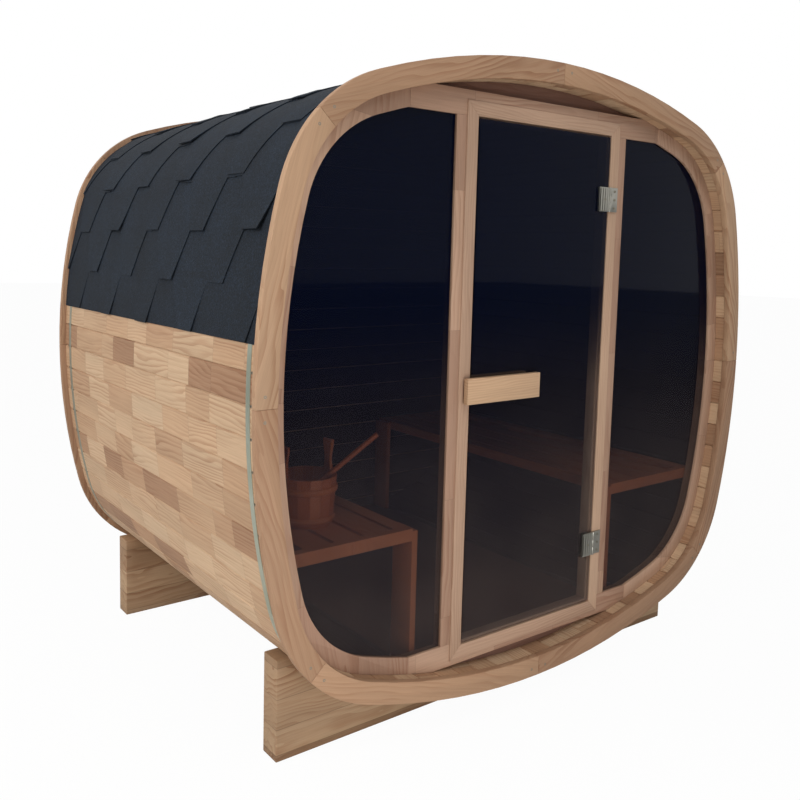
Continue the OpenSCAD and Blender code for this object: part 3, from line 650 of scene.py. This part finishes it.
# How far a tab's foot has lifted off, by side, course and tab: left corner, right corner
lifted = {("left", 2, 3): (0.004, 0.011), ("left", 2, 0): (0.010, 0.003), ("left", 1, 1): (0.0, 0.006),
          ("left", 4, 2): (0.006, 0.002), ("left", 3, 1): (0.002, 0.007)}
roof_front = front_y + ring_t
for side in ("left", "right"):
    tabs = []
    for course, foot in enumerate(course_feet):
        if foot + 0.02 > quarter:
            break
        first = 0.135 if course % 2 == 0 else 0.299
        for k in range(-1, 6):
            middle = front_y + first + tab_pitch * k + chance.uniform(-0.004, 0.004)
            if middle - 0.2 > -roof_front or middle + 0.2 < roof_front:
                continue
            one = copied(tab, f"tab_{side}_{course}_{k}", Matrix.Identity(4))
            lean = chance.uniform(-0.012, 0.012)
            slip = chance.uniform(-0.003, 0.003)
            lift_a, lift_b = lifted.get((side, course, k), (0, 0))
            lift_a += max(0, chance.gauss(0.0012, 0.0018))
            lift_b += max(0, chance.gauss(0.0012, 0.0018))
            for v in one.data.vertices:
                low_part = max(0, 1 - v.co.x / 0.11)
                cross = min(1, max(0, 0.5 + v.co.y / 0.14))
                v.co.z += low_part ** 2 * (lift_a * (1 - cross) + lift_b * cross)
                v.co.z -= 0.0008 * math.sin(v.co.y * 30 + course) * low_part
                v.co.y += lean * (v.co.x - tab_h)
                v.co.x += slip
            mark_grain(one, (1, 0, 0), (0, 1, 0))
            one.data.transform(Matrix.Translation((foot, middle, 0)))
            tabs.append(one)
    # The starter strip closes the eave between the lowest tabs
    bpy.ops.object.select_all(action="DESELECT")
    bpy.ops.mesh.primitive_grid_add(x_subdivisions=6, y_subdivisions=4, size=1)
    starter = bpy.context.object
    starter.name = f"starter_{side}"
    starter.data.transform(Matrix.Translation((eave + 0.085, 0, 0.004))
                           @ Matrix.Diagonal((0.17, 2 * abs(roof_front), 1, 1)))
    mark_grain(starter, (1, 0, 0), (0, 1, 0))
    tabs.append(starter)
    cover = joined(tabs, f"shingles_{side}")
    # Trimmed flush with the rings, and at the ridge
    for point, away in (((0, roof_front, 0), (0, -1, 0)), ((0, -roof_front, 0), (0, 1, 0)),
                        ((quarter - 0.002, 0, 0), (1, 0, 0))):
        only(cover)
        bpy.ops.object.mode_set(mode="EDIT")
        bpy.ops.mesh.select_all(action="SELECT")
        bpy.ops.mesh.bisect(plane_co=point, plane_no=away, clear_outer=True)
        bpy.ops.object.mode_set(mode="OBJECT")
    thick = cover.modifiers.new("felt", "SOLIDIFY")
    thick.thickness = felt_t
    thick.offset = -1
    bpy.ops.object.modifier_apply(modifier=thick.name)
    if side == "left":
        cover.data.transform(Matrix.Translation((2 * quarter, 0, 0)) @ Matrix.Rotation(math.pi, 4, "Z")
                             @ Matrix.Diagonal((1, -1, 1, 1)))
        cover.data.flip_normals()
    cover.data.transform(Matrix.Translation((4 * quarter, 0, 0)))
    wrap(cover)
    only(cover)
    bpy.ops.object.shade_smooth_by_angle(angle=math.radians(20))
    place_piece(cover, shingle_felt, "bitumen_shingles", "cabin", f"roof_{side}")

# Ridge caps, cut from the same shingles, bent over the ridge and lapped along it
caps = []
cap_pitch, cap_w, cap_l = 0.150, 0.24, 0.2
cap_count = math.ceil(2 * abs(roof_front) / cap_pitch)
for i in range(cap_count):
    bpy.ops.object.select_all(action="DESELECT")
    bpy.ops.mesh.primitive_grid_add(x_subdivisions=8, y_subdivisions=6, size=1)
    cap = bpy.context.object
    start = roof_front + cap_pitch * i
    length = min(cap_l, -roof_front - start)
    for v in cap.data.vertices:
        back = v.co.y + 0.5
        v.co = (5 * quarter + v.co.x * cap_w, start + back * length, 0.0135 - 0.0025 * back)
    mark_grain(cap, (0, 1, 0), (1, 0, 0))
    caps.append(cap)
ridge = joined(caps, "ridge_caps")
thick = ridge.modifiers.new("felt", "SOLIDIFY")
thick.thickness = felt_t
thick.offset = -1
only(ridge)
bpy.ops.object.modifier_apply(modifier=thick.name)
wrap(ridge)
place_piece(ridge, shingle_felt, "bitumen_shingles", "cabin")
bpy.data.objects.remove(tab)

# ---- Front wall: header, sill, curved side frames and posts ----
# Planed boards, 45 mm thick, rebated for the panes and screwed together; the
# curved side frames are sawn to the shell and jointed at mid height.
wall_timber = timber("planed_front_wall_boards", ["#b08d75", "#a3806a", "#ba977e", "#96745f"],
                     block_l=0.42, ring_mm=18, figure=0.34)
for node, along in (("front_header", (1, 0, 0)), ("front_sill", (1, 0, 0)),
                    ("left_post", (0, 0, 1)), ("right_post", (0, 0, 1)),
                    ("side_frame_left_upper", (-0.15, 0, -1)), ("side_frame_right_upper", (0.15, 0, -1)),
                    ("side_frame_left_lower", (-0.15, 0, 1)), ("side_frame_right_lower", (0.15, 0, 1))):
    board = eased(node, f"{node}_board", 0.0015, along, (1, 0, 0) if along[2] else (0, 0, 1))
    place_piece(board, wall_timber, "wall_frame_timber", "cabin", node)

# Thin boards behind close the bows above the header and below the sill; their dark tones are painted shade
# for this recess
filler_timber_painted_shade = timber("thin_backing_boards_painted_shade", ["#7a5a4c", "#6c4e42"], ring_mm=14)
board = eased("front_fillers", "front_filler_boards", 0.001, (1, 0, 0), (0, 0, 1))
place_piece(board, filler_timber_painted_shade, "wall_frame_timber", "cabin", "front_fillers")

# ---- Door frame ----
# Four planed bars, mitred and glued at the corners, with a stop that the
# glass closes against.
door_timber = timber("planed_door_frame", ["#bb9a80", "#b19078", "#c3a389"], ring_mm=12, figure=0.25)
for side, along in (("head", (1, 0, 0)), ("sill", (1, 0, 0)), ("left", (0, 0, 1)), ("right", (0, 0, 1))):
    bar = eased(f"door_frame_{side}", f"door_frame_{side}_bar", 0.0012, along,
                (1, 0, 0) if along[2] else (0, 0, 1))
    place_piece(bar, door_timber, "door_frame_timber", "cabin", f"door_frame_{side}")

# ---- Glass ----
# Toughened float glass, 8 mm, tinted dark, with ground edges. A thin grey film,
# heaviest near the ground, is partly dust and rain splash and partly painted reflection of the ground.
tinted_glass, out = new_material("dark_tinted_float_glass")
where = add(tinted_glass, "ShaderNodeTexCoord")
parts = add(tinted_glass, "ShaderNodeSeparateXYZ", {0: where.outputs["Object"]})
low_down = add(tinted_glass, "ShaderNodeMapRange", {
    0: parts.outputs[2], 1: 0.15, 2: 1.35, 3: 1.0, 4: 0.0}, interpolation_type="SMOOTHSTEP")
smear = add(tinted_glass, "ShaderNodeTexNoise", {
    "Vector": where.outputs["Object"], "Scale": 3.5, "Detail": 6.0, "Roughness": 0.6})
film = add(tinted_glass, "ShaderNodeMapRange", {
    0: smear.outputs["Fac"], 1: 0.3, 2: 0.75, 3: 0.5, 4: 1.0})
# Grey film towards the bottom: partly dust, partly painted reflection of the ground
dust_and_painted_reflection = add(tinted_glass, "ShaderNodeMath", {0: low_down.outputs[0], 1: film.outputs[0]},
           operation="MULTIPLY")
tone = add(tinted_glass, "ShaderNodeMix", {"Factor": dust_and_painted_reflection.outputs[0], "A": linear("#03081c"),
                                           "B": linear("#4f4644")}, data_type="RGBA")
# Painted shade: the upper part of the pane is close to opaque and dark, standing in for the dark inside; the
# inside shows through the lower part
painted_upper_shade_alpha = add(tinted_glass, "ShaderNodeMapRange", {
    0: parts.outputs[2], 1: 1.0, 2: 1.35, 3: 0.36, 4: 0.74})
sheen = add(tinted_glass, "ShaderNodeMapRange", {0: dust_and_painted_reflection.outputs[0], 3: 0.03, 4: 0.12})
shader = add(tinted_glass, "ShaderNodeBsdfPrincipled", {
    "Base Color": tone.outputs["Result"], "Roughness": sheen.outputs[0], "Alpha": painted_upper_shade_alpha.outputs[0],
    "IOR": 1.5})
shader.inputs["Specular IOR Level"].default_value = 0.06
tinted_glass.node_tree.links.new(shader.outputs[0], out.inputs["Surface"])
for node, slot, body in (("left_window", "window_glass", "cabin"), ("right_window", "window_glass", "cabin"),
                         ("door_glass", "door_glass", "door")):
    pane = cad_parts[node]
    if not pane.material_slots:
        pane.data.materials.append(tinted_glass)
    for place in pane.material_slots:
        place.material = tinted_glass

# ---- Door handles ----
# A flat planed bar outside and a shorter one inside, bolted together through
# the glass on wooden spacers.
handle_timber = timber("planed_handle_bar", ["#c8a685", "#c09d7c"], ring_mm=10, figure=0.3, rough=0.5)
for node in ("outside_handle", "inside_handle"):
    bar = eased(node, f"{node}_bar", 0.003, (1, 0, 0), (0, 0, 1), segments=3)
    place_piece(bar, handle_timber, "handle_timber", "door", node)

# ---- Hinges ----
# Glass-door hinges in satin nickel: a clamp plate on each side of the glass
# and a leaf screwed to the frame, turning on one pin.
satin_nickel, out = new_material("satin_nickel_plate")
where = add(satin_nickel, "ShaderNodeTexCoord")
brush = add(satin_nickel, "ShaderNodeVectorMath", {0: where.outputs["Object"], 1: (1400.0, 1400.0, 40.0)},
            operation="MULTIPLY")
hair = add(satin_nickel, "ShaderNodeTexNoise", {"Vector": brush.outputs[0], "Scale": 1.0, "Detail": 2.0})
dull = add(satin_nickel, "ShaderNodeMapRange", {0: hair.outputs["Fac"], 3: 0.26, 4: 0.42})
relief = add(satin_nickel, "ShaderNodeBump", {
    "Height": hair.outputs["Fac"], "Strength": 0.1, "Distance": 0.0002})
shader = add(satin_nickel, "ShaderNodeBsdfPrincipled", {
    "Base Color": linear("#97958c"), "Metallic": 1.0, "Roughness": dull.outputs[0],
    "Normal": relief.outputs[0]})
satin_nickel.node_tree.links.new(shader.outputs[0], out.inputs["Surface"])
for node, body in (("hinge_leaves", "cabin"), ("hinge_clamps", "door")):
    metal = eased(node, f"{node}_plates", 0.0006, None, None)
    place_piece(metal, satin_nickel, "hinge_steel", body, node)

# Four upright ribs stand on each clamp plate with a bolt between, and three
# screws hold each leaf
hinge_h, rib_w, rib_pitch, leaf_screw_pitch = 0.080, 0.0068, 0.0116, 0.028
for name, body in (("hinge_clamps", "door"), ("hinge_leaves", "cabin")):
    low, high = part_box(name)
    heads, ribs = [], []
    for top in (high.z, low.z + hinge_h):
        middle = top - hinge_h / 2
        if body == "door":
            for i in range(4):
                x = low.x + 0.0065 + rib_pitch * i
                rib = block(f"rib_{i}", (rib_w, 0.0012, 0.076), (x, low.y - 0.0004, middle))
                pick(rib, "EDGE", lambda m, d: m.y < low.y - 0.0006)
                bpy.ops.mesh.bevel(offset=0.0007, segments=2)
                ribs.append(done(rib))
            heads.append(((low.x + 0.024, low.y - 0.0013, middle), (0, -1, 0)))
        else:
            for step in (-leaf_screw_pitch, 0, leaf_screw_pitch):
                heads.append(((high.x - 0.014, high.y - 0.0055, middle + step), (0, -1, 0)))
    if ribs:
        place_piece(joined(ribs, "hinge_clamp_ribs"), satin_nickel, "hinge_steel", body)
    screws(f"{name}_screws", heads, body, "hinge_steel")

# ---- Benches ----
# Planed softwood slats and rails with eased edges, screwed to leg boards.
# Heat has turned them red-brown.
bench_timber = timber("planed_bench_slats", ["#cf7a4c", "#c06d42", "#d88558"], ring_mm=14)
for side in ("left", "right"):
    bench = eased(f"{side}_bench", f"{side}_bench_frame", 0.0025, (0, 1, 0), (1, 0, 0))
    place_piece(bench, bench_timber, "bench_timber", "cabin", f"{side}_bench")

# ---- Floor and rear wall ----
# Planed floor boards darkened by water and feet, and level planed boards
# 94 mm high across the back, with chamfered joints. The inner face of the
# wall carries painted shade, dark where little light reaches; the outer is still pale.
floor_timber = timber("planed_floor_boards", ["#6b4c3c", "#5f4335"], ring_mm=14)
deck = eased("floor", "floor_boards", 0.001, (0, 1, 0), (1, 0, 0))
place_piece(deck, floor_timber, "floor_timber", "cabin", "floor")

# The rear wall's inner face gets painted shade, darkened towards black inside the cabin
rear_timber = timber("planed_rear_wall_boards", ["#c4a584", "#b99a7a", "#ccb092"], ring_mm=14, painted_inner_shade=True)
low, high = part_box("rear_wall")
boards = []
board_h, joint_chamfer = 0.094, 0.004
count = math.ceil((high.z - low.z) / board_h)
whole = eased("rear_wall", "rear_wall_blank", 0, None, None)
for i in range(count):
    one = copied(whole, f"rear_board_{i}", Matrix.Identity(4))
    bottom = low.z + board_h * i
    for z, away in ((bottom, -1), (bottom + board_h, 1)):
        if low.z < z < high.z:
            only(one)
            bpy.ops.object.mode_set(mode="EDIT")
            bpy.ops.mesh.select_all(action="SELECT")
            bpy.ops.mesh.bisect(plane_co=(0, 0, z), plane_no=(0, 0, away), clear_outer=True, use_fill=True)
            bpy.ops.object.mode_set(mode="OBJECT")
    pick(one, "EDGE", lambda m, d: abs(d.x) > 0.95 and (
        abs(m.z - bottom) < 0.001 or abs(m.z - bottom - board_h) < 0.001))
    bpy.ops.mesh.bevel(offset=joint_chamfer, segments=1)
    done(one)
    mark_grain(one, (1, 0, 0), (0, 0, 1))
    # Marks the inner face, which gets the painted shade
    inner = one.data.attributes.new("inner", "FLOAT", "POINT")
    inner.data.foreach_set("value", [float(v.co.y < low.y + inner_depth) for v in one.data.vertices])
    boards.append(one)
bpy.data.objects.remove(whole)
boards = joined(boards, "rear_wall_boards")
place_piece(boards, rear_timber, "rear_wall_timber", "cabin", "rear_wall")

# ---- Bearers ----
# Heavy bearers, glued up edge to edge from planed softwood strips about
# 85 mm wide of clearly different tones, and hollowed on top to the barrel.
bearer_timber = timber("edge_glued_bearer_timber", ["#c4a583", "#a08062", "#b69878", "#8f7054", "#bfa384"],
                       strip_w=0.085, ring_mm=24, figure=0.5)
for end in ("front", "rear"):
    beam = eased(f"{end}_bearer", f"{end}_bearer_beam", 0.003, (1, 0, 0), (0, 0, 1))
    place_piece(beam, bearer_timber, "bearer_timber", "cabin", f"{end}_bearer")

# ---- Bucket and ladle ----
# A coopered softwood bucket, oiled red-brown: sixteen staves in two wooden
# hoops, two of them longer and waisted as ears. The ladle is turned and
# carved from the same wood, and rests on the rim.
bucket_timber = timber("oiled_bucket_staves", ["#c4693a", "#b75e31", "#ce7643"], ring_mm=8, rough=0.45)
low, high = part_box("bucket")
foot = Vector(((low.x + high.x) / 2, (low.y + high.y) / 2, low.z))
rim_r, foot_r, pail_h, pail_wall = (high.x - low.x) / 2, 0.084, 0.150, 0.012
stave_count, ear_turn = 16, math.radians(8)
parts = []
for i in range(stave_count):
    width = 2 * math.tan(math.pi / stave_count) * (rim_r - 0.002)
    ear = i in (0, stave_count // 2)
    tall = high.z - low.z if ear else pail_h
    stave = block("pail_stave", (pail_wall - 0.002, width, tall),
                  (rim_r - 0.001 - pail_wall / 2, 0, tall / 2))
    only(stave)
    bpy.ops.object.mode_set(mode="EDIT")
    # Cut across above the rim, so that the ears can be shaped
    for z in (0.15, 0.165, 0.18, 0.195, 0.21, 0.225, 0.236):
        bpy.ops.mesh.select_all(action="SELECT")
        if z < tall:
            bpy.ops.mesh.bisect(plane_co=(0, 0, z), plane_no=(0, 0, 1))
    done(stave)
    for v in stave.data.vertices:
        inward = (rim_r - foot_r) * (1 - v.co.z / pail_h) if v.co.z < pail_h else 0
        narrow = 1 - (rim_r - v.co.x) / rim_r - inward / rim_r
        v.co.y *= narrow
        v.co.x -= inward + 0.0015
        if ear and v.co.z > pail_h:
            # Waisted just above the rim, then wider at the head
            share = (v.co.z - pail_h) / (tall - pail_h)
            v.co.y *= 1.0 - 0.34 * math.sin(math.pi * min(1, share * 1.25)) + 0.2 * share
    trim = stave.modifiers.new("eased", "BEVEL")
    trim.width = 0.0012
    only(stave)
    bpy.ops.object.modifier_apply(modifier=trim.name)
    mark_grain(stave, (0, 0, 1), (0, 1, 0))
    stave.data.transform(Matrix.Translation(foot) @ Matrix.Rotation(
        ear_turn + 2 * math.pi * i / stave_count, 4, "Z"))
    parts.append(stave)
for z in (0.022, 0.112):
    bpy.ops.object.select_all(action="DESELECT")
    r = foot_r + (rim_r - foot_r) * z / pail_h
    bpy.ops.mesh.primitive_torus_add(major_segments=48, minor_segments=8, major_radius=r - 0.001,
                                     minor_radius=0.0045, location=foot + Vector((0, 0, z)))
    hoop = bpy.context.object
    hoop.scale = (1, 1, 2.2)
    bpy.ops.object.transform_apply(location=True, rotation=True, scale=True)
    mark_grain(hoop, (1, 0, 0), (0, 0, 1))
    parts.append(hoop)
bpy.ops.object.select_all(action="DESELECT")
bpy.ops.mesh.primitive_cylinder_add(vertices=48, radius=foot_r - pail_wall + 0.001, depth=0.010,
                                    location=foot + Vector((0, 0, 0.008)))
base = bpy.context.object
bpy.ops.object.transform_apply(location=True, rotation=True, scale=True)
mark_grain(base, (1, 0, 0), (0, 1, 0))
parts.append(base)
pail = joined(parts, "bucket_body")
place_piece(pail, bucket_timber, "bucket_timber", "cabin", "bucket")

spoon = eased("ladle", "ladle_body", 0.0012, (0, 0, 1), (1, 0, 0))
place_piece(spoon, bucket_timber, "bucket_timber", "cabin", "ladle")
bpy.data.objects.remove(screw)

low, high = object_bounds()
